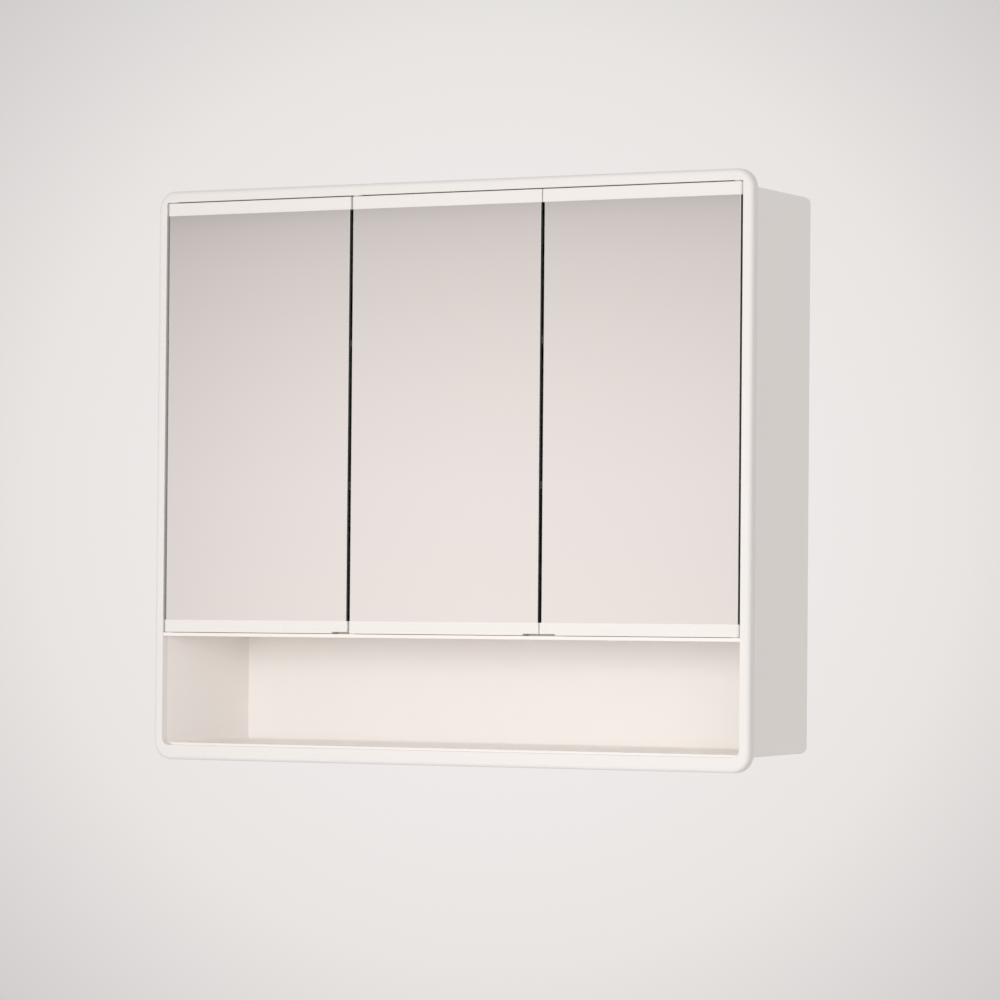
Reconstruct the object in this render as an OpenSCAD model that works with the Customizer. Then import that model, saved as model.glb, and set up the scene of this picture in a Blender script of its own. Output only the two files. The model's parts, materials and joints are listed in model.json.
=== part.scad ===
// Wall cabinet of moulded plastic: three mirror doors above one open shelf.
// X runs across the cabinet, +Y points into the wall and +Z is up.
// The origin is the centre of the flat back face.

/* [Cabinet] */
// Overall width, across the front frame
cabinet_w = 580; // [540:10:640]
// Overall height, over the front frame
cabinet_h = 490; // [450:10:560]
// Overall depth, from the wall to the front of the frame
cabinet_d = 130; // [120:5:160]

/* [Front frame] */
// Width of the frame at its upright sides
stile_w = 8.9; // [8:0.1:12]
// Height of the frame above the doors
lintel_h = 9.8; // [9.4:0.1:14]
// Height of the frame below the open shelf
sill_h = 12.5; // [11:0.1:16]
// Radius of the frame's four outer corners
frame_corner_r = 16; // [12:0.5:22]
// Radius of the opening's two lower corners
opening_corner_r = 6.5; // [4:0.5:9]
// Radius of the frame's outer front edge
frame_edge_r = 4; // [2:0.5:6]

/* [Body] */
// Thickness of the moulded walls
wall = 2.6; // [2.2:0.1:3.2]
// How much each side leans in between the frame and the wall
side_draft = 6.2; // [2:0.1:8]
// How much the top and the bottom each lean in
end_draft = 1.7; // [1:0.1:4]
// Radius of the rear edges
rear_edge_r = 4; // [3.5:0.5:5]
// Space from the floor of the open shelf to the divider
open_shelf_h = 91.8; // [80:0.2:120]

/* [Doors] */
// Thickness of a rail, front to back
rail_t = 9; // [8.5:0.1:9.2]
// Height of a top rail
top_rail_h = 10.7; // [10:0.1:14]
// Height of a bottom rail
bottom_rail_h = 10.5; // [10:0.1:14]
// Gap between the ends of two rails
rail_gap = 0.8; // [0.7:0.1:1.2]
// Thickness of a mirror
mirror_t = 3; // [2.5:0.1:3]
// Radius of a pivot pin
pin_r = 1.75; // [1.5:0.05:1.8]
// Front corner radius at the hinged end of an outer door's rails, which turn beside the frame
hinge_corner_r = 2.6; // [2.6:0.1:4]
// Front corner radius at the hinged end of the middle door's rails, which turn beside a door
middle_hinge_corner_r = 3.3; // [3.3:0.1:4]
// Length of the finger recess at the free end of a bottom rail
finger_w = 15; // [12:0.5:25]
// Height of the finger recess
finger_h = 1.3; // [1:0.1:3]

/* [Interior] */
// Thickness of a partition
partition_t = 3; // [3:0.1:4]
// Thickness of a shelf board
shelf_t = 4; // [3:0.5:5]
// Underside of the lower shelves
lower_shelf_z = -14; // [-40:1:0]
// Underside of the upper shelves
upper_shelf_z = 107; // [90:1:120]

/* [Wall fixing] */
// Distance between the two holes of a pair
hanger_spacing = 490; // [460:2:490]
// Height of the upper pair of holes
hanger_z = 198; // [185:1:200]
// Height of the lower pair of holes
lower_hole_z = -70; // [-90:1:-60]
// Radius of the holes for the wall screws
wall_hole_r = 3; // [2:0.25:3.5]

/* [Hidden] */
$fn = 48;

// Facets in a quarter turn of an outline, and in a rounded edge
arc_steps = 8;
ease_steps = 5;
// How far a cutting shape runs past the surface that it cuts
over = 1;

white = [0.93, 0.92, 0.91];
inner_white = [0.89, 0.88, 0.87];
steel = [0.72, 0.73, 0.75];
catch_grey = [0.25, 0.25, 0.25];

// Depths behind the front plane: where the frame ends, where the body's flange starts
// and where the doors' stops are
front_y = -cabinet_d;
frame_rear_y = front_y + 10.2;
flange_y = front_y + 7.8;
ledge_y = front_y + 10.3;
frame_skin = 2.4;
flange_inset = 2.6;

// Outlines of the frame and its opening:
// [half width, lowest z, highest z, radius of the lower corners, radius of the upper corners].
// The opening's upper corners are nearly square, to clear the ends of the top rails.
frame_spec = [cabinet_w / 2, -cabinet_h / 2, cabinet_h / 2, frame_corner_r, frame_corner_r];
opening = [
    cabinet_w / 2 - stile_w, -cabinet_h / 2 + sill_h, cabinet_h / 2 - lintel_h, opening_corner_r, 1.5
];
lintel_z = opening[2];
sill_z = opening[1];
// The body's floor and ceiling stand proud of the frame's opening, as door stops
stop_h = 5.4;
floor_step = 1.9;
tub_front = [opening[0], sill_z + floor_step, lintel_z - stop_h, 3.4, 3.4];
floor_z = tub_front[1];

// Divider between the doors' compartments and the open shelf
divider_t = 3;
divider_bottom_z = floor_z + open_shelf_h;
divider_z = divider_bottom_z + divider_t;
divider_front_y = front_y + 0.8;
lip_h = 6;
lip_t = 2;
part_gap = 0.2;

// Doors
rail_bottom_z = divider_z + 0.5;
rail_top_z = lintel_z - 1;
mirror_lo = rail_bottom_z + bottom_rail_h;
mirror_hi = rail_top_z - top_rail_h;
door_side_gap = 1.1;
mirror_end_inset = 1.35;
rail_lip_t = 1.2;
mirror_tongue = 4.5;
back_panel_t = 1;
rail_corner_r = 0.8;
bumper_r = 2;
bumper_t = 1.1;
bumper_inset = 24;
pivot_y = front_y + rail_t / 2;
door_pitch = 2 * (opening[0] - door_side_gap + rail_gap / 2) / 3;
rail_len = door_pitch - rail_gap;
gap_x = door_pitch / 2;
door_names = ["left", "middle", "right"];
LEFT = 0;
MIDDLE = 1;
RIGHT = 2;

// Pivots
pin_clearance = 0.05;
bush_r = 2.8;
bush_flange_r = 4;
top_bush_h = 6;
top_bush_flange = 0.5;
bottom_bush_flange = 0.25;
pad_half_w = 5.5;

// Shelves, ledges and partitions
ledge_w = 6;
ledge_h = 4;
partition_front_y = ledge_y + lip_t + part_gap;
shelf_front_y = partition_front_y + 4;
shelf_lip_h = 3;
rib_w = 2;
rib_h = 5;
back_y = -wall - part_gap;

// Catches
catch_z = 200;
housing = [14, 17.6, 24];
housing_front_y = front_y + 7.2;
magnet = [10, 3, 18];
magnet_proud = 0.7;
strike = [12, 1, 22];
catch_screw_r = 1.2;
catch_screw_offset = 5;
catch_x = partition_t / 2 + housing[0] / 2;

// Screws
frame_screw_x = [-200, -45, 45, 200];
frame_screw_r = 1.1;
frame_screw_z = [6 - cabinet_h / 2, cabinet_h / 2 - 4.7];
divider_screw_ys = [front_y + 32, -26];
divider_screw_inset = 7;
divider_boss_h = 9;
hanger_plate = [40, 2, 30];
hanger_screw_dx = 14;

// ---- shared shapes ----

function arc_points(centre, r, from, to) = [
    for (i = [0:arc_steps]) let (a = from + (to - from) * i / arc_steps)
        centre + r * [cos(a), sin(a)]
];

function outline(s) = concat(
    arc_points([s[0] - s[4], s[2] - s[4]], s[4], 0, 90),
    arc_points([s[4] - s[0], s[2] - s[4]], s[4], 90, 180),
    arc_points([s[3] - s[0], s[1] + s[3]], s[3], 180, 270),
    arc_points([s[0] - s[3], s[1] + s[3]], s[3], 270, 360)
);

function grow(s, by) = [s[0] + by, s[1] - by, s[2] + by, s[3] + by, s[4] + by];

// Sections of an edge rounded by r where the outline s starts at depth y.
// side is -1 on a solid's outer edge and 1 on the edge of a cut.
function front_ease(y, s, r, side) = [
    for (i = [0:ease_steps]) let (a = 90 * i / ease_steps)
        [y + r * (1 - cos(a)), grow(s, side * r * (1 - sin(a)))]
];

// Inner outline of the body at depth y
function tub(y) = let (t = (y - ledge_y) / -ledge_y) [
    tub_front[0] - side_draft * t, tub_front[1] + end_draft * t,
    tub_front[2] - end_draft * t, tub_front[3], tub_front[4]
];

// Sections of the body's inner or outer surface, grown by "by", with a rounded rear edge
function tub_sections(by, front, rear, r) = concat(
    [[front, grow(tub(front), by)]],
    [for (i = [0:ease_steps]) let (a = 90 - 90 * i / ease_steps, y = rear - r * (1 - cos(a)))
        [y, grow(tub(y), by - r * (1 - sin(a)))]]
);

// Solid between two depths with one outline
module prism(s, y0, y1) {
    translate([0, y1, 0]) rotate([90, 0, 0]) linear_extrude(y1 - y0) polygon(outline(s));
}

// Solid through a list of [depth, outline] sections
module loft(sections) {
    n = len(outline(sections[0][1]));
    last = (len(sections) - 1) * n;
    polyhedron(
        points = [for (s = sections) for (p = outline(s[1])) [p[0], s[0], p[1]]],
        faces = concat(
            [[for (i = [n - 1:-1:0]) i]],
            [[for (i = [0:n - 1]) last + i]],
            [for (k = [0:len(sections) - 2]) for (i = [0:n - 1])
                [k * n + i, k * n + (i + 1) % n, (k + 1) * n + (i + 1) % n, (k + 1) * n + i]]
        )
    );
}

module box(lo, hi) {
    translate(lo) cube(hi - lo);
}

// Plate seen from above, between two heights
module plate(points, z0, z1) {
    translate([0, 0, z0]) linear_extrude(z1 - z0) polygon(points);
}

// Rib seen from the side, between two x positions
module rib(points, x0, x1) {
    translate([x0, 0, 0]) rotate([90, 0, 90]) linear_extrude(x1 - x0) polygon(points);
}

// Cylinder along +Y from the point at
module rod_y(at, r, length) {
    translate(at) rotate([-90, 0, 0]) cylinder(r = r, h = length);
}

module both_sides() {
    children();
    mirror([1, 0, 0]) children();
}

// ---- body ----

// Strip along the right side wall, running into it, "w" wide
module side_strip(w, y0, y1, z0, z1) {
    plate([
        [tub(y0)[0] + wall / 2, y0], [tub(y1)[0] + wall / 2, y1],
        [tub(y1)[0] - w, y1], [tub(y0)[0] - w, y0]
    ], z0, z1);
}

// Pair of ribs on the ceiling that holds the top edge of a partition at x
module ceiling_groove(x) {
    y0 = partition_front_y;
    y1 = -20;
    for (side = [-1, 1]) {
        edge = x + side * (partition_t / 2 + part_gap / 2);
        rib([
            [y0, tub(y0)[2] - rib_h], [y1, tub(y1)[2] - rib_h],
            [y1, tub(y1)[2] + wall / 2], [y0, tub(y0)[2] + wall / 2]
        ], min(edge, edge + side * rib_w), max(edge, edge + side * rib_w));
    }
}

module divider_boss(y) {
    difference() {
        side_strip(2 * divider_screw_inset, y - 6, y + 6, divider_z, divider_z + divider_boss_h);
        translate([tub(y)[0] - divider_screw_inset, y, divider_z - over])
            cylinder(r = 1.35, h = divider_boss_h + over - 1);
    }
}

module body_shell() {
    color(white) {
        difference() {
            union() {
                prism(grow(frame_spec, -flange_inset), flange_y, frame_rear_y);
                prism(grow(opening, 2.8), flange_y, ledge_y + 2.4);
                loft(tub_sections(wall, ledge_y, 0, rear_edge_r));
            }
            prism(opening, flange_y - over, ledge_y);
            loft(tub_sections(0, ledge_y - 0.1, -wall, rear_edge_r - wall));
            for (x = frame_screw_x, z = frame_screw_z)
                rod_y([x, flange_y - over, z], 1.3, 5);
            for (x = [-1, 1] * hanger_spacing / 2, z = [hanger_z, lower_hole_z])
                rod_y([x, -wall - over, z], wall_hole_r, wall + 2 * over);
            for (x = [-1, 1] * hanger_spacing / 2, dx = [-1, 1] * hanger_screw_dx)
                rod_y([x + dx, -wall - over, hanger_z], 1.25, over + 2.1);
        }
        both_sides() {
            for (z = [lower_shelf_z, upper_shelf_z])
                side_strip(ledge_w, shelf_front_y, -8, z - ledge_h, z);
            for (y = divider_screw_ys) divider_boss(y);
        }
        for (x = [-gap_x, gap_x]) ceiling_groove(x);
    }
}

// ---- front frame ----

module frame_pad(x, z, half_w) {
    if (z > 0) box([x - half_w, front_y + 2, lintel_z], [x + half_w, flange_y, cabinet_h / 2 - 2]);
    else box([x - half_w, front_y + 2, -cabinet_h / 2 + 2], [x + half_w, flange_y, sill_z]);
}

module front_frame() {
    skirt_inner = grow(frame_spec, -frame_skin);
    color(white) difference() {
        loft(concat(
            front_ease(front_y, frame_spec, frame_edge_r, -1),
            [[frame_rear_y - 0.8, frame_spec], [frame_rear_y, grow(frame_spec, -0.6)]]
        ));
        loft(concat(
            [[front_y - over, grow(opening, 1)]],
            front_ease(front_y, opening, 1, 1),
            [[frame_rear_y + over, opening]]
        ));
        prism(skirt_inner, flange_y, frame_rear_y + over);
        difference() {
            prism(skirt_inner, front_y + 2.5, flange_y + over);
            prism(grow(opening, 2.2), front_y, frame_rear_y);
            for (x = frame_screw_x, z = frame_screw_z) frame_pad(x, z, 4);
            for (k = [LEFT:RIGHT]) frame_pad(pivot_x(k), 1, pad_half_w);
        }
        for (x = frame_screw_x, z = frame_screw_z) rod_y([x, flange_y - 4.8, z], 1.15, 6);
        for (k = [LEFT:RIGHT])
            translate([pivot_x(k), pivot_y, lintel_z - over]) cylinder(r = bush_r, h = top_bush_h + over);
    }
}

// Screw along -Y from the flange into the frame, with its head behind the flange
module frame_screws() {
    color(steel) for (x = frame_screw_x, z = frame_screw_z) {
        rod_y([x, flange_y - 4.5, z], frame_screw_r, frame_rear_y - flange_y + 4.5);
        rod_y([x, frame_rear_y, z], 2.1, 1.4);
    }
}

// ---- divider and partitions ----

module divider_screws() {
    head_h = 1.7;
    color(steel) both_sides() for (y = divider_screw_ys)
        translate([tub(y)[0] - divider_screw_inset, y, divider_bottom_z]) {
            cylinder(r1 = 3, r2 = 1.3, h = head_h);
            cylinder(r = 1.3, h = divider_t + divider_boss_h - 2);
        }
}

module divider_shelf() {
    y1 = back_y;
    side = opening[0] - part_gap;
    rear_x = tub(y1)[0] - part_gap;
    corner = rear_edge_r - wall + part_gap;
    right = [
        [side, divider_front_y], [side, ledge_y], [tub(y1 - corner)[0] - part_gap, y1 - corner],
        [rear_x - corner / 3, y1 - corner / 3], [rear_x - corner, y1]
    ];
    color(white) difference() {
        union() {
            plate(concat(right, [for (i = [len(right) - 1:-1:0]) [-right[i][0], right[i][1]]]),
                divider_bottom_z, divider_z);
            box([-side + part_gap, ledge_y, divider_z - over],
                [side - part_gap, ledge_y + lip_t, divider_z + lip_h]);
            for (x = [-gap_x, gap_x], s = [-1, 1]) {
                edge = x + s * (partition_t / 2 + part_gap / 2);
                box([min(edge, edge + s * rib_w), ledge_y + lip_t - over, divider_z - over],
                    [max(edge, edge + s * rib_w), -20, divider_z + rib_h]);
            }
        }
        for (k = [LEFT:RIGHT]) translate([pivot_x(k), pivot_y, divider_bottom_z - over])
            cylinder(r = bush_r, h = divider_t + 2 * over);
        both_sides() for (y = divider_screw_ys)
            translate([tub(y)[0] - divider_screw_inset, y, divider_bottom_z]) {
                translate([0, 0, -over]) cylinder(r = 1.4, h = divider_t + 2 * over);
                translate([0, 0, -0.01]) cylinder(r1 = 3.1, r2 = 1.4, h = 1.71);
            }
    }
}

// Partition at x; catch_sides lists the sides that carry a catch: -1 left, 1 right
module partition(x, catch_sides) {
    y0 = partition_front_y;
    y1 = back_y;
    corner = rear_edge_r - wall;
    color(inner_white) difference() {
        union() {
            rib([
                [y0, divider_z], [y1, divider_z], [y1, tub(y1)[2] - corner],
                [y1 - corner, tub(y1 - corner)[2] - part_gap], [y0, tub(y0)[2] - part_gap]
            ], x - partition_t / 2, x + partition_t / 2);
            for (z = [lower_shelf_z, upper_shelf_z])
                box([x - partition_t / 2 - ledge_w, shelf_front_y, z - ledge_h],
                    [x + partition_t / 2 + ledge_w, -8, z]);
        }
        for (s = catch_sides)
            translate([x, housing_front_y + housing[1] - 5, catch_z - s * catch_screw_offset])
                rotate([0, s * 90, 0]) translate([0, 0, 0.1]) cylinder(r = catch_screw_r, h = partition_t);
    }
}

module left_partition() {
    partition(-gap_x, [-1]);
}

module right_partition() {
    partition(gap_x, [-1, 1]);
}

// ---- shelves ----

// Board whose left and right edges are given at the front and at the back
module shelf_board(left, right, z) {
    cut = rear_edge_r - wall;
    y1 = back_y - part_gap;
    color(inner_white) {
        plate([
            [left[0], shelf_front_y], [right[0], shelf_front_y],
            [right[1], y1 - cut], [right[1] - cut, y1], [left[1] + cut, y1], [left[1], y1 - cut]
        ], z, z + shelf_t);
        box([left[0] + over, shelf_front_y, z + shelf_t - over],
            [right[0] - over, shelf_front_y + lip_t, z + shelf_t + shelf_lip_h]);
    }
}

module side_shelf(z) {
    gap = 0.3;
    inner = gap_x + partition_t / 2 + gap;
    rear_y = back_y - part_gap;
    shelf_board([inner, inner], [tub(shelf_front_y)[0] - gap, tub(rear_y)[0] - gap], z);
}

module middle_shelf(z) {
    edge = gap_x - partition_t / 2 - 0.3;
    shelf_board([-edge, -edge], [edge, edge], z);
}

module shelf_left_lower() {
    mirror([1, 0, 0]) side_shelf(lower_shelf_z);
}

module shelf_left_upper() {
    mirror([1, 0, 0]) side_shelf(upper_shelf_z);
}

module shelf_middle_lower() {
    middle_shelf(lower_shelf_z);
}

module shelf_middle_upper() {
    middle_shelf(upper_shelf_z);
}

module shelf_right_lower() {
    side_shelf(lower_shelf_z);
}

module shelf_right_upper() {
    side_shelf(upper_shelf_z);
}

// ---- pivots ----

module bush(z0, z1, flange_z0, flange_z1) {
    difference() {
        union() {
            translate([0, 0, z0]) cylinder(r = bush_r, h = z1 - z0);
            translate([0, 0, flange_z0]) cylinder(r = bush_flange_r, h = flange_z1 - flange_z0);
        }
        translate([0, 0, min(z0, flange_z0) - over])
            cylinder(r = pin_r + pin_clearance, h = max(z1, flange_z1) - min(z0, flange_z0) + 2 * over);
    }
}

module top_bushes() {
    color("ivory") for (k = [LEFT:RIGHT]) translate([pivot_x(k), pivot_y, 0])
        bush(lintel_z, lintel_z + top_bush_h, lintel_z - top_bush_flange, lintel_z);
}

module bottom_bushes() {
    color("ivory") for (k = [LEFT:RIGHT]) translate([pivot_x(k), pivot_y, 0])
        bush(divider_bottom_z, divider_z, divider_z, divider_z + bottom_bush_flange);
}

// ---- catches ----

// Places its children at each catch: origin on the partition's face, +X away from it
module at_catches() {
    for (c = [[-gap_x, 1], [gap_x, 1], [gap_x, 0]])
        translate([c[0], 0, catch_z]) rotate([0, c[1] * 180, 0])
            translate([partition_t / 2, 0, 0]) children();
}

module catch_housings() {
    color(catch_grey) at_catches() difference() {
        translate([0, housing_front_y, -housing[2] / 2]) cube(housing);
        translate([(housing[0] - magnet[0]) / 2, housing_front_y - over, -magnet[2] / 2])
            cube([magnet[0], magnet[1] - magnet_proud + over, magnet[2]]);
        translate([-over, housing_front_y + housing[1] - 5, -catch_screw_offset])
            rotate([0, 90, 0]) cylinder(r = catch_screw_r + 0.15, h = housing[0] + 2 * over);
        translate([housing[0] - 2, housing_front_y + housing[1] - 5, -catch_screw_offset])
            rotate([0, 90, 0]) cylinder(r = 2.8, h = 2 + over);
    }
}

module catch_magnets() {
    color("dimgray") at_catches()
        translate([(housing[0] - magnet[0]) / 2, housing_front_y - magnet_proud, -magnet[2] / 2])
            cube(magnet);
}

module catch_screws() {
    color(steel) at_catches() translate([-1.3, housing_front_y + housing[1] - 5, -catch_screw_offset])
        rotate([0, 90, 0]) {
            cylinder(r = catch_screw_r, h = housing[0] - 0.6);
            translate([0, 0, housing[0] - 0.7]) cylinder(r = 2.5, h = 1.4);
        }
}

// ---- wall fixing ----

module hanger_plates() {
    color(steel) for (s = [-1, 1]) translate([s * hanger_spacing / 2, -wall - hanger_plate[1], hanger_z])
        difference() {
            translate([-hanger_plate[0] / 2, 0, -hanger_plate[2] / 2]) cube(hanger_plate);
            rod_y([0, -over, 0], wall_hole_r, hanger_plate[1] + 2 * over);
            for (dx = [-1, 1] * hanger_screw_dx) rod_y([dx, -over, 0], 1.25, hanger_plate[1] + 2 * over);
        }
}

module hanger_screws() {
    color(steel) for (s = [-1, 1], dx = [-1, 1] * hanger_screw_dx)
        translate([s * hanger_spacing / 2 + dx, -wall - hanger_plate[1], hanger_z]) {
            rod_y([0, 0, 0], 1.2, hanger_plate[1] + 2);
            rod_y([0, -1.4, 0], 2.4, 1.4);
        }
}

// ---- doors ----
// Each door is drawn about its pivot: +X runs to its free end, and its front is at -Y.

function pivot_side(k) = k == RIGHT ? -1 : 1;
function pivot_x(k) = (k == RIGHT ? 1 : -1) * (k == MIDDLE ? gap_x - rail_gap / 2 - rail_t / 2
    : opening[0] - door_side_gap - rail_t / 2);

module at_door(k) {
    translate([pivot_x(k), pivot_y, 0]) mirror([pivot_side(k) < 0 ? 1 : 0, 0, 0]) children();
}

// Rail from z0 to z1, with a slot for the mirror's edge and a hole for the pin.
// inner_z is its edge at the mirror. A bottom rail has the finger recess too.
module rail(k, z0, z1, inner_z) {
    r = rail_t / 2;
    corner_r = k == MIDDLE ? middle_hinge_corner_r : hinge_corner_r;
    up = inner_z == z1 ? 1 : -1;
    free = rail_len - r;
    slot_z = inner_z - up * (mirror_tongue + part_gap);
    outer_z = up > 0 ? z0 : z1;
    pin_end_z = slot_z - up * 0.6;
    color(white) difference() {
        plate(concat(
            arc_points([free - rail_corner_r, -r + rail_corner_r], rail_corner_r, -90, 0),
            arc_points([free - rail_corner_r, r - rail_corner_r], rail_corner_r, 0, 90),
            arc_points([0, 0], r, 90, 180),
            arc_points([corner_r - r, corner_r - r], corner_r, 180, 270)
        ), z0, z1);
        box([-r + mirror_end_inset - part_gap, -r + rail_lip_t, min(slot_z, inner_z + up)],
            [free - mirror_end_inset + part_gap, -r + rail_lip_t + mirror_t, max(slot_z, inner_z + up)]);
        translate([0, 0, min(outer_z - up, pin_end_z)])
            cylinder(r = pin_r, h = abs(outer_z - up - pin_end_z));
        if (up > 0) box([free - finger_w, -r - over, z0 - over], [free + over, r + over, z0 + finger_h]);
    }
}

module top_rail(k) {
    at_door(k) rail(k, mirror_hi, rail_top_z, mirror_hi);
}

module bottom_rail(k) {
    at_door(k) rail(k, rail_bottom_z, mirror_lo, mirror_lo);
}

module mirror_glass(k) {
    r = rail_t / 2;
    color("lightsteelblue") at_door(k)
        box([-r + mirror_end_inset, -r + rail_lip_t, mirror_lo - mirror_tongue],
            [rail_len - r - mirror_end_inset, -r + rail_lip_t + mirror_t, mirror_hi + mirror_tongue]);
}

module back_panel(k) {
    r = rail_t / 2;
    y = -r + rail_lip_t + mirror_t;
    color(inner_white) at_door(k)
        box([-r + mirror_end_inset + 1, y, mirror_lo + 0.3],
            [rail_len - r - mirror_end_inset - 1, y + back_panel_t, mirror_hi - 0.3]);
}

module pivot_pins(k) {
    bed = mirror_tongue + part_gap + 0.6;
    top_z = lintel_z + top_bush_h - 0.5;
    bottom_z = divider_bottom_z + 0.2;
    color(steel) at_door(k) {
        translate([0, 0, mirror_hi + bed]) cylinder(r = pin_r, h = top_z - mirror_hi - bed);
        translate([0, 0, bottom_z]) cylinder(r = pin_r, h = mirror_lo - bed - bottom_z);
    }
}

module strike_plate(k) {
    y = -rail_t / 2 + rail_lip_t + mirror_t + back_panel_t;
    partition_x = k == LEFT ? -gap_x : gap_x;
    centre = abs(partition_x + (k == RIGHT ? 1 : -1) * catch_x - pivot_x(k));
    color(steel) at_door(k) translate([centre - strike[0] / 2, y, catch_z - strike[2] / 2]) cube(strike);
}

module bumpers(k) {
    color("whitesmoke") at_door(k)
        for (z = [rail_top_z - bumper_r - 0.2, rail_bottom_z + bumper_r + 0.6])
            rod_y([rail_len - rail_t / 2 - bumper_inset, rail_t / 2, z], bumper_r, bumper_t);
}

body_shell();
front_frame();
divider_shelf();
left_partition();
right_partition();
shelf_left_lower();
shelf_left_upper();
shelf_middle_lower();
shelf_middle_upper();
shelf_right_lower();
shelf_right_upper();
top_bushes();
bottom_bushes();
catch_housings();
catch_magnets();
catch_screws();
frame_screws();
divider_screws();
hanger_plates();
hanger_screws();
for (k = [LEFT:RIGHT]) {
    mirror_glass(k);
    back_panel(k);
    top_rail(k);
    bottom_rail(k);
    pivot_pins(k);
    strike_plate(k);
    bumpers(k);
}
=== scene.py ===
"""Looks of a three-door mirror cabinet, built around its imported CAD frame. Lengths are in metres."""

import json
import math

import bmesh
import bpy
from mathutils import Matrix, Vector

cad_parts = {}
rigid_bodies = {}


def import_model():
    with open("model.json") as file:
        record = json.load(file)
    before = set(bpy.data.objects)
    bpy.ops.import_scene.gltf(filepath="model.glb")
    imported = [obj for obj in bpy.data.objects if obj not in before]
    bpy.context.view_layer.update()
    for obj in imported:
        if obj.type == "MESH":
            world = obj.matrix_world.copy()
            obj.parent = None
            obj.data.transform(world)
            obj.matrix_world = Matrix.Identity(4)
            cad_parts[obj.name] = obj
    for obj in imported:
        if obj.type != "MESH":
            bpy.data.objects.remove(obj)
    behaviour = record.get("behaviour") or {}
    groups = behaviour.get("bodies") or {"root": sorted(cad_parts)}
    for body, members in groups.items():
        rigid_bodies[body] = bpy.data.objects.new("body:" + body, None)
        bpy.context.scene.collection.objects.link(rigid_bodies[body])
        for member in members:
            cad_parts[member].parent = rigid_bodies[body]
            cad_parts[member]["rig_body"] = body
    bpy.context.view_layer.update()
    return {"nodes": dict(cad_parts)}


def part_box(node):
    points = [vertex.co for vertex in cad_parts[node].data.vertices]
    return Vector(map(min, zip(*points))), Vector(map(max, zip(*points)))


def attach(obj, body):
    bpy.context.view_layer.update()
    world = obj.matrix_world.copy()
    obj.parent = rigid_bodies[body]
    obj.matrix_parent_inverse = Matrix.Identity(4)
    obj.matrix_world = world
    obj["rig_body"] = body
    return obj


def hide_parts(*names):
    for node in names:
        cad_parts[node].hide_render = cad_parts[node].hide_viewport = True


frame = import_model()

MM = 0.001
DOORS = ("left", "middle", "right")

# Steps in a quarter turn of an outline, in a rounded edge and round a screw
ARC_STEPS = 16
EASE_STEPS = 8
ROUND_STEPS = 32

# Points nearer than this are one point
WELD = 0.005 * MM


# ---- the frame's measures ----

frame_low, frame_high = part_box("front_frame")
shell_low, shell_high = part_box("body_shell")
rail_low, rail_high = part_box("left_top_rail")
FRONT_Y = frame_low.y
DOOR_SIDE_GAP = 1.1 * MM
DOOR_TOP_GAP = 1.0 * MM
STILE_W = rail_low.x - frame_low.x - DOOR_SIDE_GAP
LINTEL_H = frame_high.z - rail_high.z - DOOR_TOP_GAP
SILL_H = 12.5 * MM

# Radii of the frame's outer corners, of its opening's corners and of their front and rear edges
FRAME_R = 16 * MM
OPENING_LOW_R = 6.5 * MM
OPENING_HIGH_R = 1.5 * MM
FRAME_EDGE_R = 4.0 * MM
OPENING_EDGE_R = 0.5 * MM
REAR_EDGE_R = 0.8 * MM
REAR_CHAMFER = 0.3 * MM

# Thickness of the frame's skirt, of its front and of the wall round its opening
SKIRT_T = 2.4 * MM
FRONT_T = 2.5 * MM
OPENING_WALL_T = 2.2 * MM


# ---- node helpers ----

class Nodes:
    """A node tree, with short calls to add and join nodes."""

    def __init__(self, tree):
        self.tree = tree

    def add(self, kind, inputs=None, **settings):
        node = self.tree.nodes.new(kind)
        for key, value in settings.items():
            setattr(node, key, value)
        for key, value in (inputs or {}).items():
            self.feed(node.inputs[key], value)
        return node

    def feed(self, socket, value):
        if isinstance(value, bpy.types.NodeSocket):
            self.tree.links.new(value, socket)
        else:
            socket.default_value = value

    def spread(self, value, low, high, from_low=0.2, from_high=0.8):
        """Maps from_low..from_high, where most of a noise lies, onto low..high."""
        return self.add("ShaderNodeMapRange", {
            "Value": value, "From Min": from_low, "From Max": from_high,
            "To Min": low, "To Max": high}).outputs[0]

    def mix(self, factor, a, b):
        return self.add("ShaderNodeMix", {0: factor, 6: a, 7: b}, data_type="RGBA").outputs[2]

    def maths(self, operation, *values):
        return self.add("ShaderNodeMath", dict(enumerate(values)), operation=operation).outputs[0]

    def ramp(self, value, stops):
        """Colours at (position, colour) stops along a value from 0 to 1."""
        node = self.add("ShaderNodeValToRGB", {0: value})
        elements = node.color_ramp.elements
        elements[0].position, elements[0].color = stops[0]
        elements[1].position, elements[1].color = stops[-1]
        for position, colour in stops[1:-1]:
            elements.new(position).color = colour
        return node.outputs[0]


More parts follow.
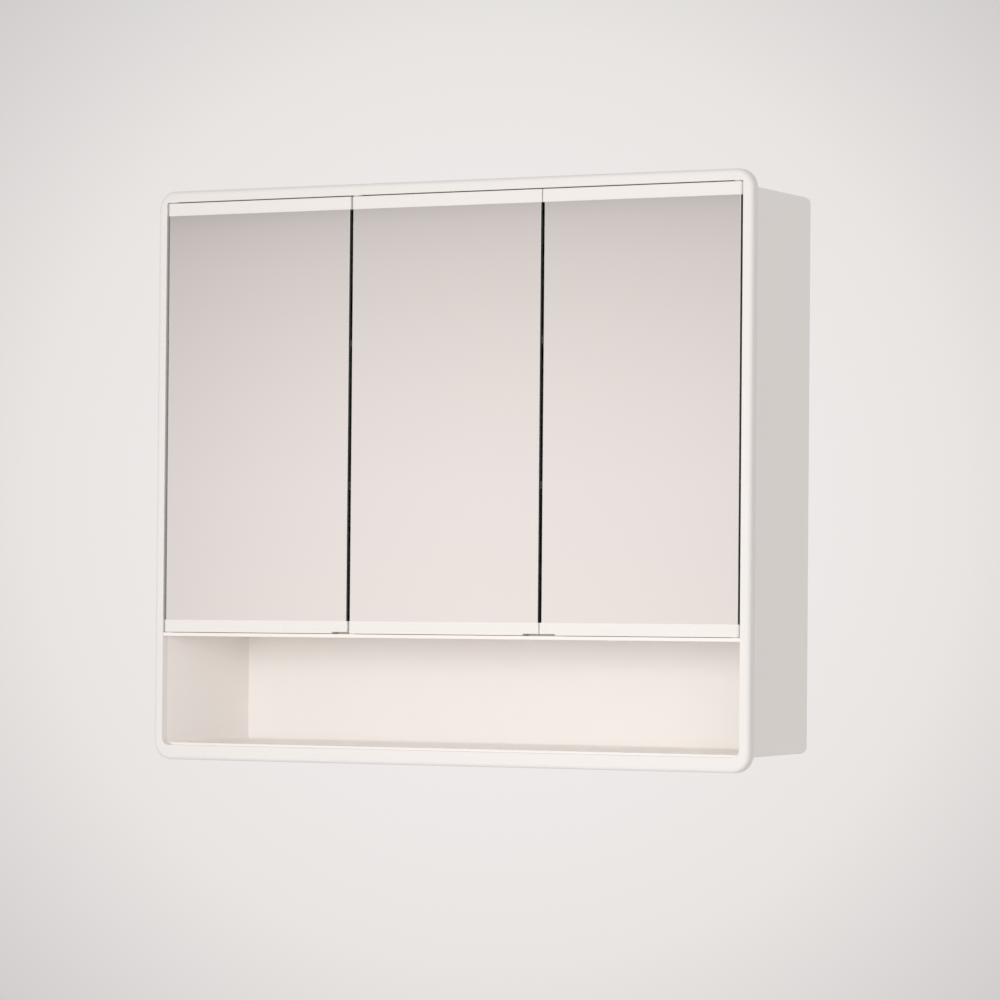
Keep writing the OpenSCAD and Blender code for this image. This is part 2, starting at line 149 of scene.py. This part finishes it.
class Material(Nodes):
    """A material's nodes, round its Principled shader."""

    def __init__(self, name):
        self.material = bpy.data.materials.new(name)
        self.material.use_nodes = True
        super().__init__(self.material.node_tree)
        self.bsdf = self.tree.nodes["Principled BSDF"]
        self.coords = self.add("ShaderNodeTexCoord").outputs["Object"]

    def set(self, **inputs):
        for key, value in inputs.items():
            self.feed(self.bsdf.inputs[key.replace("_", " ")], value)

    def noise(self, scale, detail=2.0, roughness=0.5, stretch=(1, 1, 1)):
        vector = self.add("ShaderNodeMapping", {"Vector": self.coords, "Scale": stretch}).outputs[0]
        return self.add("ShaderNodeTexNoise", {
            "Vector": vector, "Scale": scale, "Detail": detail, "Roughness": roughness}).outputs["Fac"]

    def blend(self, pattern, dark, light):
        """Two colours mixed by a noise."""
        return self.mix(self.spread(pattern, 0, 1), dark, light)

    def bump(self, height, strength, distance, normal=None):
        node = self.add("ShaderNodeBump", {"Height": height, "Strength": strength, "Distance": distance})
        if normal is not None:
            self.feed(node.inputs["Normal"], normal)
        return node.outputs[0]


def rgb(r, g, b):
    """An sRGB colour, 0 to 255, as the linear colour that a shader takes."""
    def linear(c):
        c /= 255
        return c / 12.92 if c <= 0.04045 else ((c + 0.055) / 1.055) ** 2.4
    return (linear(r), linear(g), linear(b), 1.0)


# ---- materials ----

PLASTIC_IOR = 1.5
GLASS_IOR = 1.52
COAT_ROUGHNESS = 0.12
WARM_TINT = (0.992, 0.987, 0.978)


def moulded_plastic(name, colour, rough, grain_size, grain_depth, coat=0.0):
    """Moulded polystyrene: a faint flow ripple, a fine grain in millimetres, slight handling marks."""
    m = Material(name)
    warm = tuple(c * k for c, k in zip(colour[:3], WARM_TINT)) + (1.0,)
    m.set(Base_Color=m.blend(m.noise(9, 3), colour, warm))
    smear = m.noise(22, 4, 0.65, (1, 1, 0.4))
    m.set(Roughness=m.spread(smear, rough - 0.05, rough + 0.07))
    ripple = m.bump(m.noise(60, 1), 0.12, 0.2 * MM)
    grain = m.noise(1000 / grain_size, 2)
    m.set(Normal=m.bump(grain, 0.35, grain_depth * MM, ripple))
    m.set(IOR=PLASTIC_IOR, Coat_Weight=coat, Coat_Roughness=COAT_ROUGHNESS)
    return m.material


def silvered_glass(name):
    """Silver seen through clear glass, with barely visible wiping marks and dust."""
    m = Material(name)
    m.set(Base_Color=m.blend(m.noise(3, 2), rgb(240, 240, 239), rgb(243, 242, 241)))
    wipe = m.noise(14, 5, 0.6, (1, 1, 0.25))
    m.set(Roughness=m.spread(wipe, 0.012, 0.035))
    m.set(Normal=m.bump(m.noise(2.2, 1), 0.05, 0.01 * MM))
    m.set(Metallic=1.0)
    return m.material


def cut_edge(name, dark, light, low_rough, high_rough):
    """An edge of float glass, streaked along its length by the grinding belt."""
    m = Material(name)
    streak = m.noise(900, 2, 0.5, (0.1, 1, 0.05))
    m.set(Base_Color=m.blend(streak, dark, light))
    m.set(Roughness=m.spread(streak, low_rough, high_rough))
    m.set(Normal=m.bump(streak, 0.3, 0.03 * MM))
    m.set(IOR=GLASS_IOR)
    return m.material


def back_lacquer(name):
    """The grey protective lacquer on the back of a mirror."""
    m = Material(name)
    mottle = m.noise(120, 4, 0.6)
    m.set(Base_Color=m.blend(mottle, rgb(112, 118, 120), rgb(124, 129, 131)))
    m.set(Roughness=m.spread(mottle, 0.45, 0.6))
    m.set(Normal=m.bump(mottle, 0.3, 0.03 * MM))
    return m.material


def zinc_plate(name):
    """Bright zinc on steel: finely brushed, with a faint spangle."""
    m = Material(name)
    brush = m.noise(900, 3, 0.6, (0.05, 1, 1))
    base = m.blend(brush, rgb(176, 179, 184), rgb(206, 208, 211))
    cells = m.add("ShaderNodeTexVoronoi", {"Vector": m.coords, "Scale": 260.0}).outputs["Distance"]
    m.set(Base_Color=m.mix(m.spread(cells, 0, 0.35, 0, 1), base, rgb(152, 156, 164)))
    m.set(Roughness=m.spread(brush, 0.24, 0.42))
    m.set(Normal=m.bump(brush, 0.25, 0.02 * MM))
    m.set(Metallic=1.0)
    return m.material


def ferrite(name):
    """Sintered ferrite: near black, with fine pits."""
    m = Material(name)
    pits = m.noise(1600, 4, 0.7)
    m.set(Base_Color=m.blend(pits, rgb(46, 46, 48), rgb(66, 66, 68)))
    m.set(Roughness=m.spread(pits, 0.5, 0.75))
    m.set(Normal=m.bump(pits, 0.6, 0.05 * MM))
    m.set(Metallic=0.3)
    return m.material


def soft_rubber(name):
    """Milky silicone rubber."""
    m = Material(name)
    cloud = m.noise(300, 3)
    m.set(Base_Color=m.blend(cloud, rgb(214, 214, 211), rgb(228, 228, 225)))
    m.set(Roughness=m.spread(cloud, 0.5, 0.65))
    m.set(Normal=m.bump(m.noise(1500, 2), 0.3, 0.02 * MM))
    return m.material


# Painted light: the shell is given a lighter white and the frame a slightly darker one, so that the
# shaded shelf inside comes out nearly as bright as the lit front.
FRAME_WHITE = moulded_plastic("frame_plastic", rgb(239, 236, 235), 0.30, 0.9, 0.010, coat=0.10)
SHELL_WHITE = moulded_plastic("shell_plastic", rgb(250, 247, 245), 0.38, 0.8, 0.016)
RAIL_WHITE = moulded_plastic("rail_plastic", rgb(240, 237, 235), 0.30, 1.1, 0.008, coat=0.10)
INNER_WHITE = moulded_plastic("inner_plastic", rgb(248, 243, 239), 0.46, 0.7, 0.020)
SHELF_WHITE = moulded_plastic("shelf_plastic", rgb(241, 237, 233), 0.44, 0.7, 0.020)
PANEL_WHITE = moulded_plastic("back_panel_plastic", rgb(228, 226, 223), 0.5, 0.5, 0.014)
CATCH_GREY = moulded_plastic("catch_plastic", rgb(58, 57, 56), 0.48, 0.5, 0.016)
ACETAL = moulded_plastic("bush_plastic", rgb(236, 233, 222), 0.35, 0.4, 0.010)
MIRROR = silvered_glass("mirror_glass")
GLASS_ARRIS = cut_edge("glass_arris", rgb(206, 212, 209), rgb(232, 235, 233), 0.3, 0.45)
GLASS_EDGE = cut_edge("glass_edge", rgb(84, 86, 80), rgb(112, 112, 105), 0.2, 0.35)
LACQUER = back_lacquer("mirror_back")
ZINC = zinc_plate("zinc_steel")
FERRITE = ferrite("magnet")
RUBBER = soft_rubber("bumper_rubber")


# ---- mesh helpers ----

def piece(name, bm, node, slot, *materials):
    """Makes bm an object that stands for a CAD node and rides on that node's body."""
    mesh = bpy.data.meshes.new(name)
    bm.normal_update()
    bm.to_mesh(mesh)
    bm.free()
    obj = bpy.data.objects.new(name, mesh)
    bpy.context.scene.collection.objects.link(obj)
    for material in materials:
        mesh.materials.append(material)
    even = obj.modifiers.new("even_normals", "WEIGHTED_NORMAL")
    even.keep_sharp = True
    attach(obj, frame["nodes"][node]["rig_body"])
    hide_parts(node)
    return obj


def sharp_edges(bm, angle):
    return [e for e in bm.edges
            if len(e.link_faces) == 2 and e.calc_face_angle(0) > math.radians(angle)]


def smooth(bm, angle):
    """Smooth shading, with edges sharper than the angle in degrees kept sharp."""
    for face in bm.faces:
        face.smooth = True
    for edge in bm.edges:
        edge.smooth = len(edge.link_faces) == 2
    for edge in sharp_edges(bm, angle):
        edge.smooth = False


def arc(cx, cz, r, start):
    """A quarter turn of points about (cx, cz), from the angle start in degrees."""
    turns = (math.radians(start + 90 * i / ARC_STEPS) for i in range(ARC_STEPS + 1))
    return [(cx + r * math.cos(t), cz + r * math.sin(t)) for t in turns]


def outline(half_w, low, high, low_r, high_r):
    """A rounded rectangle in X and Z, the same number of points whatever its size."""
    return (arc(half_w - high_r, high - high_r, high_r, 0)
            + arc(high_r - half_w, high - high_r, high_r, 90)
            + arc(low_r - half_w, low + low_r, low_r, 180)
            + arc(half_w - low_r, low + low_r, low_r, 270))


def grown(spec, by):
    half_w, low, high, low_r, high_r = spec
    return (half_w + by, low - by, high + by, low_r + by, high_r + by)


def ring_loft(sections):
    """A closed ring of faces through (depth, outline) sections, the last joined to the first."""
    bm = bmesh.new()
    rings = [[bm.verts.new((x, y, z)) for x, z in outline(*spec)] for y, spec in sections]
    for a, b in zip(rings, rings[1:] + rings[:1]):
        for i in range(len(a)):
            j = (i + 1) % len(a)
            bm.faces.new((a[i], a[j], b[j], b[i]))
    bmesh.ops.recalc_face_normals(bm, faces=bm.faces)
    return bm


def eased(y, spec, r, side, back=1):
    """Sections of a rounded edge of radius r that starts at depth y and runs towards back."""
    turns = (math.pi / 2 * i / EASE_STEPS for i in range(EASE_STEPS + 1))
    return [(y + back * r * (1 - math.cos(t)), grown(spec, side * r * (1 - math.sin(t)))) for t in turns]


def welded(node):
    """The CAD node's mesh as a bmesh, with doubled points joined."""
    bm = bmesh.new()
    bm.from_mesh(frame["nodes"][node].data)
    bmesh.ops.remove_doubles(bm, verts=bm.verts, dist=WELD)
    return bm


def cad_mesh(node):
    """The CAD node's shape as a clean bmesh, with flat facets merged."""
    flat = math.radians(0.6)
    bm = welded(node)
    bmesh.ops.dissolve_limit(bm, angle_limit=flat, verts=bm.verts, edges=bm.edges)
    bmesh.ops.recalc_face_normals(bm, faces=bm.faces)
    return bm


def ease_edges(bm, edges, width, segments):
    bmesh.ops.bevel(bm, geom=edges, offset=width, segments=segments, profile=0.5,
                    affect="EDGES", clamp_overlap=True)


def long_front_edges(bm, angle):
    """The sharp edges at the very front that run more than 5 mm across."""
    front = min(v.co.y for v in bm.verts) + 0.05 * MM
    return [e for e in sharp_edges(bm, angle)
            if max(v.co.y for v in e.verts) < front
            and abs(e.verts[0].co.x - e.verts[1].co.x) > 5 * MM]


def refined(node, slot, material, ease, front_ease=0.0):
    """The CAD node's own shape with its sharp edges eased, long ones at its front by front_ease."""
    sharp = 32
    bm = cad_mesh(node)
    if front_ease:
        ease_edges(bm, long_front_edges(bm, sharp), front_ease, 4)
    ease_edges(bm, sharp_edges(bm, sharp), ease, 2)
    smooth(bm, sharp)
    return piece(node + "_look", bm, node, slot, material)


def solids(node):
    """The points of each separate solid in a CAD node."""
    bm = welded(node)
    found = []
    left = set(bm.verts)
    while left:
        stack = [min(left, key=lambda v: v.index)]
        left.discard(stack[0])
        group = []
        while stack:
            vert = stack.pop()
            group.append(vert.co.copy())
            for edge in vert.link_edges:
                other = edge.other_vert(vert)
                if other in left:
                    left.discard(other)
                    stack.append(other)
        found.append(group)
    bm.free()
    return found


def span(points):
    """The lowest and the highest corner of some points."""
    low = Vector(min(p[i] for p in points) for i in range(3))
    high = Vector(max(p[i] for p in points) for i in range(3))
    return low, high


def placed(at, direction):
    """A matrix that puts local Z along direction, with its origin at a point."""
    return Matrix.Translation(at) @ direction.to_track_quat("Z", "Y").to_matrix().to_4x4()


def turned_rings(bm, rings, place, turns):
    """Faces through (radius, height) rings: a number, a function of the angle, or None for a point."""
    made = []
    for radius, height in rings:
        if radius is None:
            made.append([bm.verts.new(place @ Vector((0, 0, height)))])
            continue
        ring = []
        for turn in turns:
            r = radius(turn) if callable(radius) else radius
            ring.append(bm.verts.new(place @ Vector((r * math.cos(turn), r * math.sin(turn), height))))
        made.append(ring)
    count = len(turns)
    for a, b in zip(made, made[1:]):
        for i in range(count):
            j = (i + 1) % count
            if len(a) == 1:
                bm.faces.new((a[0], b[i], b[j]))
            elif len(b) == 1:
                bm.faces.new((a[i], b[0], a[j]))
            else:
                bm.faces.new((a[i], b[i], b[j], a[j]))


# ---- front frame ----

def front_frame():
    """A moulded frame, hollow at its rear, with a rounded front."""
    half_w = (frame_high.x - frame_low.x) / 2
    outer = (half_w, frame_low.z, frame_high.z, FRAME_R, FRAME_R)
    opening = (half_w - STILE_W, frame_low.z + SILL_H, frame_high.z - LINTEL_H,
               OPENING_LOW_R, OPENING_HIGH_R)
    rear = frame_high.y
    flange = shell_low.y
    hollow = FRONT_Y + FRONT_T
    sections = list(reversed(eased(FRONT_Y, opening, OPENING_EDGE_R, 1)))
    sections += eased(FRONT_Y, outer, FRAME_EDGE_R, -1)
    sections += list(reversed(eased(rear, outer, REAR_EDGE_R, -1, back=-1)))
    sections += [
        (rear, grown(outer, REAR_CHAMFER - SKIRT_T)),
        (rear - REAR_CHAMFER, grown(outer, -SKIRT_T)),
        (hollow, grown(outer, -SKIRT_T)),
        (hollow, grown(opening, OPENING_WALL_T)),
        (flange, grown(opening, OPENING_WALL_T)),
        (flange, opening),
    ]
    bm = ring_loft(sections)
    smooth(bm, 35)
    piece("front_frame_look", bm, "front_frame", "frame_plastic", FRAME_WHITE)


# ---- body, divider, partitions and shelves ----

def fixed_mouldings():
    refined("body_shell", "shell_plastic", SHELL_WHITE, 0.35 * MM)
    refined("divider_shelf", "inner_plastic", INNER_WHITE, 0.4 * MM)
    for side in ("left", "right"):
        refined(side + "_partition", "inner_plastic", INNER_WHITE, 0.35 * MM)
    for bay in DOORS:
        for level in ("lower", "upper"):
            refined(f"shelf_{bay}_{level}", "shelf_plastic", SHELF_WHITE, 0.5 * MM)
    refined("catch_housings", "catch_plastic", CATCH_GREY, 0.5 * MM)
    refined("catch_magnets", "magnet", FERRITE, 0.25 * MM)
    for node in ("top_bushes", "bottom_bushes"):
        refined(node, "bush_plastic", ACETAL, 0.08 * MM)
    refined("hanger_plates", "zinc_steel", ZINC, 0.25 * MM)


# ---- screws ----

# The cross recess, as parts of the head's radius
SLOT_LENGTH = 0.62
SLOT_WIDTH = 0.17

# Heights of the two kinds of head, and how far the raised one is domed
FLUSH_HEAD_H = 1.7 * MM
RAISED_HEAD_H = 1.4 * MM
DOME_H = 0.5 * MM

# Axes along which the screws lie
X_AXIS, Y_AXIS, Z_AXIS = range(3)


def slot_radius(size):
    """The outline of a cross recess, as a radius by angle."""
    def radius(turn):
        c = max(abs(math.cos(turn)), 1e-6)
        s = max(abs(math.sin(turn)), 1e-6)
        along = min(SLOT_LENGTH / c, SLOT_WIDTH / s)
        across = min(SLOT_LENGTH / s, SLOT_WIDTH / c)
        return size * max(along, across)
    return radius


def screw_turns():
    """Angles around a screw, with the corners of its cross recess among them."""
    corner = math.atan(SLOT_WIDTH / SLOT_LENGTH)
    turns = {2 * math.pi * i / ROUND_STEPS for i in range(ROUND_STEPS)}
    for quarter in range(4):
        base = quarter * math.pi / 2
        turns.update((base + corner, base + math.pi / 2 - corner, base + math.pi / 4))
    return sorted(turns)


SCREW_TURNS = screw_turns()


def screw_rings(head_r, shank_r, length, flush):
    """A screw's profile, from the foot of its recess over its head and down to its tip."""
    dome = 0.0 if flush else DOME_H
    head_h = FLUSH_HEAD_H if flush else RAISED_HEAD_H

    def crown(r):
        return -dome * (r / head_r) ** 2

    recess_top = crown(0.5 * head_r)
    rings = [
        (None, -0.75 * head_h),
        (slot_radius(0.75 * head_r), -0.7 * head_h),
        (slot_radius(head_r), recess_top - 0.04 * MM),
        (slot_radius(1.05 * head_r), recess_top),
        (0.74 * head_r, crown(0.74 * head_r)),
        (0.9 * head_r, crown(0.9 * head_r)),
    ]
    if flush:
        rings += [(0.98 * head_r, 0), (head_r, -0.08 * MM)]
    else:
        rings += [(0.98 * head_r, crown(head_r) - 0.1 * MM), (head_r, -0.8 * MM),
                  (head_r, 0.1 * MM - head_h), (0.96 * head_r, -head_h)]
    rings += [(shank_r, -head_h), (shank_r, 1.2 * MM - length),
              (0.25 * shank_r, 0.1 * MM - length), (None, -length)]
    return rings


def screw(bm, points, axis, flush):
    """A cross-recess screw in the place of a CAD solid; its head is the end with the wider points."""
    low, high = span(points)
    middle = (low + high) / 2
    across = [i for i in range(3) if i != axis]

    def radius_near(end):
        return max(math.hypot(*(p[i] - middle[i] for i in across))
                   for p in points if abs(p[axis] - end) < 0.3 * MM)

    tip, top = sorted((low[axis], high[axis]), key=radius_near)
    at = middle.copy()
    at[axis] = top
    outward = Vector((0, 0, 0))
    outward[axis] = 1 if top > tip else -1
    rings = screw_rings(radius_near(top), radius_near(tip), high[axis] - low[axis], flush)
    turned_rings(bm, rings, placed(at, outward), SCREW_TURNS)


def screws(node, axis, flush=False):
    bm = bmesh.new()
    for points in solids(node):
        screw(bm, points, axis, flush)
    bmesh.ops.recalc_face_normals(bm, faces=bm.faces)
    smooth(bm, 38)
    piece(node + "_look", bm, node, "zinc_steel", ZINC)


def all_screws():
    screws("frame_screws", Y_AXIS)
    screws("hanger_screws", Y_AXIS)
    screws("catch_screws", X_AXIS)
    screws("divider_screws", Z_AXIS, flush=True)


# ---- doors ----

ARRIS = 0.45 * MM
BACK_NICK = 0.3 * MM
BUMPER_STEPS = 5


def mirror_glass(name):
    """A silvered sheet with ground arrises, lacquered on its back."""
    node = name + "_mirror"
    low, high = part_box(node)
    bm = bmesh.new()

    def corners(inset, y):
        x0, x1, z0, z1 = low.x + inset, high.x - inset, low.z + inset, high.z - inset
        return [bm.verts.new(p) for p in ((x0, y, z0), (x1, y, z0), (x1, y, z1), (x0, y, z1))]

    silver, arris, edge, lacquer = range(4)
    loops = [corners(ARRIS, low.y), corners(0, low.y + 0.55 * ARRIS),
             corners(0, high.y - BACK_NICK), corners(BACK_NICK, high.y)]
    for slot, a, b in zip((arris, edge, edge), loops, loops[1:]):
        for i in range(4):
            j = (i + 1) % 4
            face = bm.faces.new((a[i], a[j], b[j], b[i]))
            face.material_index = slot
    front = bm.faces.new(loops[0])
    front.material_index = silver
    back = bm.faces.new(loops[-1])
    back.material_index = lacquer
    bmesh.ops.recalc_face_normals(bm, faces=bm.faces)
    piece(node + "_look", bm, node, "mirror_glass", MIRROR, GLASS_ARRIS, GLASS_EDGE, LACQUER)


def bumper_rings(r, h):
    """A button's profile: a short wall, then a dome."""
    wall = 0.25 * h
    rings = [(None, 0), (r, 0), (r, wall)]
    for i in range(1, BUMPER_STEPS):
        t = math.pi / 2 * i / BUMPER_STEPS
        rings.append((r * math.cos(t), wall + (h - wall) * math.sin(t)))
    rings.append((None, h))
    return rings


def bumpers(name):
    """Domed silicone buttons on the back of a rail."""
    node = name + "_bumpers"
    bm = bmesh.new()
    for points in solids(node):
        low, high = span(points)
        foot = (low + high) / 2
        foot.y = low.y
        rings = bumper_rings((high.x - low.x) / 2, high.y - low.y)
        turned_rings(bm, rings, placed(foot, Vector((0, 1, 0))), SCREW_TURNS)
    bmesh.ops.recalc_face_normals(bm, faces=bm.faces)
    smooth(bm, 40)
    piece(node + "_look", bm, node, "bumper_rubber", RUBBER)


def door(name):
    mirror_glass(name)
    refined(name + "_back_panel", "back_panel_plastic", PANEL_WHITE, 0.2 * MM)
    for rail in ("_top_rail", "_bottom_rail"):
        refined(name + rail, "rail_plastic", RAIL_WHITE, 0.25 * MM, front_ease=0.7 * MM)
    refined(name + "_pivot_pins", "zinc_steel", ZINC, 0.3 * MM)
    refined(name + "_strike_plate", "zinc_steel", ZINC, 0.2 * MM)
    bumpers(name)


front_frame()
fixed_mouldings()
all_screws()
for name in DOORS:
    door(name)


# ---- stage, lights and camera ----

# The main view's direction in degrees, its place and its lens in millimetres
YAW = 30.504
PITCH = 1.343
ROLL = 0.492
CAMERA_PLACE = (2.2560, -3.8653, -0.1248)
LENS = 188.03
SENSOR = 36

FLOOR_Z = -0.95
FLOOR_R = 2.6

# Where the mirrors' card is, as the tangent of its direction from straight ahead
CARD_MIDDLE = 0.586
# How much less the surroundings light the object than they show
DIFFUSE_LOSS = 0.33


def view_direction():
    yaw, pitch = math.radians(YAW), math.radians(PITCH)
    return Vector((-math.sin(yaw) * math.cos(pitch), math.cos(yaw) * math.cos(pitch), math.sin(pitch)))


def wall_colour(n, x, y, z):
    """Pale all round, a little darker some way off the main view's middle."""
    middle = view_direction()
    dot = n.maths("ADD", n.maths("MULTIPLY", x, middle.x), n.maths("MULTIPLY", y, middle.y))
    dot = n.maths("ADD", dot, n.maths("MULTIPLY", z, middle.z))
    per_30_degrees = math.degrees(1) / 30
    angle = n.maths("MULTIPLY", n.maths("ARCCOSINE", n.maths("MINIMUM", dot, 0.999999)), per_30_degrees)
    return n.ramp(angle, [
        (0.0, rgb(239, 236, 235)), (0.10, rgb(238, 234, 233)), (0.17, rgb(232, 229, 227)),
        (0.26, rgb(208, 205, 204)), (0.40, rgb(212, 209, 208)), (0.9, rgb(236, 233, 231))])


def card(n, x, y, z):
    """What the mirrors show: a card's colour, and how much of it there is in each direction.

    It is brightest level with the mirrors' lower edge and falls off upwards and to the sides.
    """
    depth = n.maths("MAXIMUM", n.maths("MULTIPLY", y, -1.0), 0.05)
    rise = n.maths("MULTIPLY", n.maths("DIVIDE", z, depth), 10.0)
    column = n.ramp(rise, [
        (0.0, rgb(250, 241, 237)), (0.3, rgb(247, 239, 236)), (0.5, rgb(243, 234, 231)),
        (0.65, rgb(236, 228, 224)), (0.8, rgb(228, 220, 216)), (0.89, rgb(219, 211, 208)),
        (0.93, rgb(207, 200, 197)), (0.94, rgb(196, 190, 187))])
    across = n.maths("SUBTRACT", n.maths("DIVIDE", n.maths("MULTIPLY", x, -1.0), depth), CARD_MIDDLE)
    falloff = n.maths("MULTIPLY_ADD", n.maths("MULTIPLY", across, across), -16.0, 1.0)
    colour = n.add("ShaderNodeVectorMath", {
        0: column, "Scale": n.maths("MAXIMUM", falloff, 0.6)}, operation="SCALE").outputs[0]
    # Whole where the main view's mirrors show it, and faded out round that
    inside = n.maths("MULTIPLY", n.spread(n.maths("ABSOLUTE", across), 0, 1, 0.2, 0.1),
                     n.spread(rise, 0, 1, 1.6, 1.0))
    inside = n.maths("MULTIPLY", inside, n.spread(rise, 0, 1, -1.0, -0.1))
    inside = n.maths("MULTIPLY", inside, n.maths("LESS_THAN", y, -0.1))
    return inside, colour


def world():
    """Pale surroundings, and a soft card that the mirrors show."""
    w = bpy.data.worlds.new("studio")
    bpy.context.scene.world = w
    w.use_nodes = True
    n = Nodes(w.node_tree)
    background = n.tree.nodes["Background"]
    direction = n.add("ShaderNodeTexCoord").outputs["Generated"]
    x, y, z = n.add("ShaderNodeSeparateXYZ", {0: direction}).outputs
    inside, card_colour = card(n, x, y, z)
    n.feed(background.inputs["Color"], n.mix(inside, wall_colour(n, x, y, z), card_colour))
    diffuse = n.add("ShaderNodeLightPath").outputs["Is Diffuse Ray"]
    n.feed(background.inputs["Strength"], n.maths("MULTIPLY_ADD", diffuse, -DIFFUSE_LOSS, 1.0))


def soft_light(name, place, target, width, height, power, colour):
    """A rectangular light in watts that isn't seen, nor reflected."""
    data = bpy.data.lights.new(name, "AREA")
    data.shape = "RECTANGLE"
    data.size = width
    data.size_y = height
    data.energy = power
    data.color = colour
    light = bpy.data.objects.new(name, data)
    bpy.context.scene.collection.objects.link(light)
    light.location = place
    light.rotation_euler = (Vector(target) - Vector(place)).to_track_quat("-Z", "Y").to_euler()
    light.visible_camera = False
    light.visible_glossy = False


def floor():
    """A pale disc under the object that fades out at its rim."""
    m = Material("floor")
    length = m.add("ShaderNodeVectorMath", {"Vector": m.coords}, operation="LENGTH").outputs["Value"]
    m.set(Base_Color=m.blend(m.noise(4, 3), rgb(243, 241, 239), rgb(246, 244, 242)))
    m.set(Roughness=m.spread(m.noise(30, 3), 0.75, 0.85))
    m.set(Alpha=m.spread(length, 1, 0, 0.45 * FLOOR_R, 0.98 * FLOOR_R))
    bm = bmesh.new()
    bmesh.ops.create_circle(bm, cap_ends=True, segments=96, radius=FLOOR_R)
    mesh = bpy.data.meshes.new("floor")
    bm.to_mesh(mesh)
    bm.free()
    mesh.materials.append(m.material)
    disc = bpy.data.objects.new("floor", mesh)
    bpy.context.scene.collection.objects.link(disc)
    disc.location = (0, 0, FLOOR_Z)


def camera():
    """The main view: from the right, level with the mirrors' lower edge, with a long lens."""
    yaw, roll = math.radians(YAW), math.radians(ROLL)
    forward = view_direction()
    right = Vector((math.cos(yaw), math.sin(yaw), 0))
    up = right.cross(forward)
    right, up = (right * math.cos(roll) + up * math.sin(roll),
                 up * math.cos(roll) - right * math.sin(roll))
    data = bpy.data.cameras.new("camera")
    data.sensor_width = SENSOR
    data.lens = LENS
    cam = bpy.data.objects.new("camera", data)
    bpy.context.scene.collection.objects.link(cam)
    turn = Matrix((right, up, -forward)).transposed()
    cam.matrix_world = Matrix.Translation(CAMERA_PLACE) @ turn.to_4x4()
    bpy.context.scene.camera = cam


world()
soft_light("key", (1.7, -2.1, 0.3), (0, 0, -0.03), 0.9, 0.9, 6, (1.0, 0.99, 0.98))
soft_light("fill", (0.15, -1.5, -0.06), (0, -0.1, -0.12), 0.6, 0.5, 8.0, (1.0, 0.985, 0.965))
floor()
camera()
bpy.context.scene.view_settings.view_transform = "Standard"
